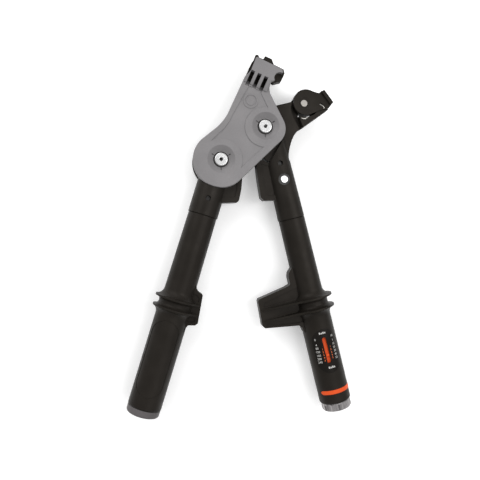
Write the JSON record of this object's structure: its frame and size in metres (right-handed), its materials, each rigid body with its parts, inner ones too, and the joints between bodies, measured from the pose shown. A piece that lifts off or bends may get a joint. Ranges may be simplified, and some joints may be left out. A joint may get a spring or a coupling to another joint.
{
  "type": "wire tensioning tool",
  "caption": "Long two-handled tool that grips a wire between a pivoted cam and a fixed jaw and pulls it tight, with a spring trip set by a knob in one grip.",
  "frame": {"origin": "bottom centre of the bounding box, under the tool as it lies on its back", "axes": "+Z out of the tool's front face, +Y from the handles up to the nose, +X to the right jaw"},
  "size_m": [0.2694, 0.4253, 0.052],
  "materials": {
    "cover_grey": "matt cast",
    "casting_black": "satin black coating",
    "forging_black": "satin black",
    "handle_black": "fine moulded texture",
    "bright_steel": "machined",
    "dark_steel": "blackened",
    "knob_bright": "polished, fluted",
    "plug_grey": "satin",
    "marker_orange": "satin",
    "scale_black": "printed, satin",
    "bearing_bronze": "oiled"
  },
  "bodies": {
    "left_side": {"left_arm_casting": "casting_black", "front_cover": "cover_grey", "wire_guide": "dark_steel", "main_pivot_bolt": "bright_steel", "left_fixing_bolt": "bright_steel", "front_washers": "dark_steel", "rear_washers": "bright_steel", "rear_nuts": "bright_steel", "pivot_sleeve": "bright_steel", "left_tube": "dark_steel", "left_tube_pin": "dark_steel", "left_handle_shell": "handle_black", "left_end_plug": "plug_grey"},
    "jaw_lever": {"jaw_lever": "forging_black", "pivot_bush": "bearing_bronze", "cam_spring": "dark_steel"},
    "wire_cam": {"wire_cam": "forging_black", "cam_pin": "bright_steel", "cam_pin_circlip": "dark_steel"},
    "right_handle": {"right_socket_casting": "casting_black", "trip_pivot_pin": "bright_steel", "trip_stop_pin": "dark_steel", "right_tube": "dark_steel", "right_handle_shell": "handle_black", "scale_plate": "scale_black", "orange_band": "marker_orange", "screw_bearing": "bearing_bronze", "tension_spring": "bright_steel"},
    "trip_plunger": {"trip_plunger": "bright_steel", "trip_roller": "dark_steel", "roller_pin": "bright_steel"},
    "adjuster": {"lead_screw": "bright_steel", "thrust_washer": "bearing_bronze", "knob_key": "dark_steel", "adjuster_knob": "knob_bright"},
    "indicator": {"spring_seat_nut": "bright_steel", "setting_indicator": "marker_orange"}
  },
  "joints": [
    {"name": "jaw_pivot", "type": "hinge", "parent": "left_side", "child": "jaw_lever", "pos_m": [0.02752, 0.13002, 0.026], "axis": [0, 0, -1], "range_deg": [-12, 13]},
    {"name": "cam_pivot", "type": "hinge", "parent": "jaw_lever", "child": "wire_cam", "pos_m": [0.07552, 0.16002, 0.026], "axis": [0, 0, 1], "range_deg": [0, 28], "stiffness_Nm_per_rad": 0.05, "springref_deg": -17.19},
    {"name": "trip_pivot", "type": "hinge", "parent": "jaw_lever", "child": "right_handle", "pos_m": [0.05006, 0.06775, 0.026], "axis": [0, 0, -1], "range_deg": [0, 3], "stiffness_Nm_per_rad": 10, "springref_deg": -2.86},
    {"name": "plunger_slide", "type": "slide", "parent": "right_handle", "child": "trip_plunger", "axis": [0.2402, -0.9707, 0], "range_m": [0, 0.00176], "deforming": ["tension_spring"]},
    {"name": "adjuster_turn", "type": "hinge", "parent": "right_handle", "child": "adjuster", "pos_m": [0.03422, 0.13172, 0.026], "axis": [0.2402, -0.9707, 0], "range_deg": [-1082, 392]},
    {"name": "indicator_slide", "type": "slide", "parent": "right_handle", "child": "indicator", "axis": [0.2402, -0.9707, 0], "range_m": [-0.018, 0.0065]}
  ],
  "couplings": [
    {"joint": "plunger_slide", "follows": "trip_pivot", "m_per_rad": 0.0334},
    {"joint": "adjuster_turn", "follows": "indicator_slide", "rad_per_m": 1047.2}
  ]
}
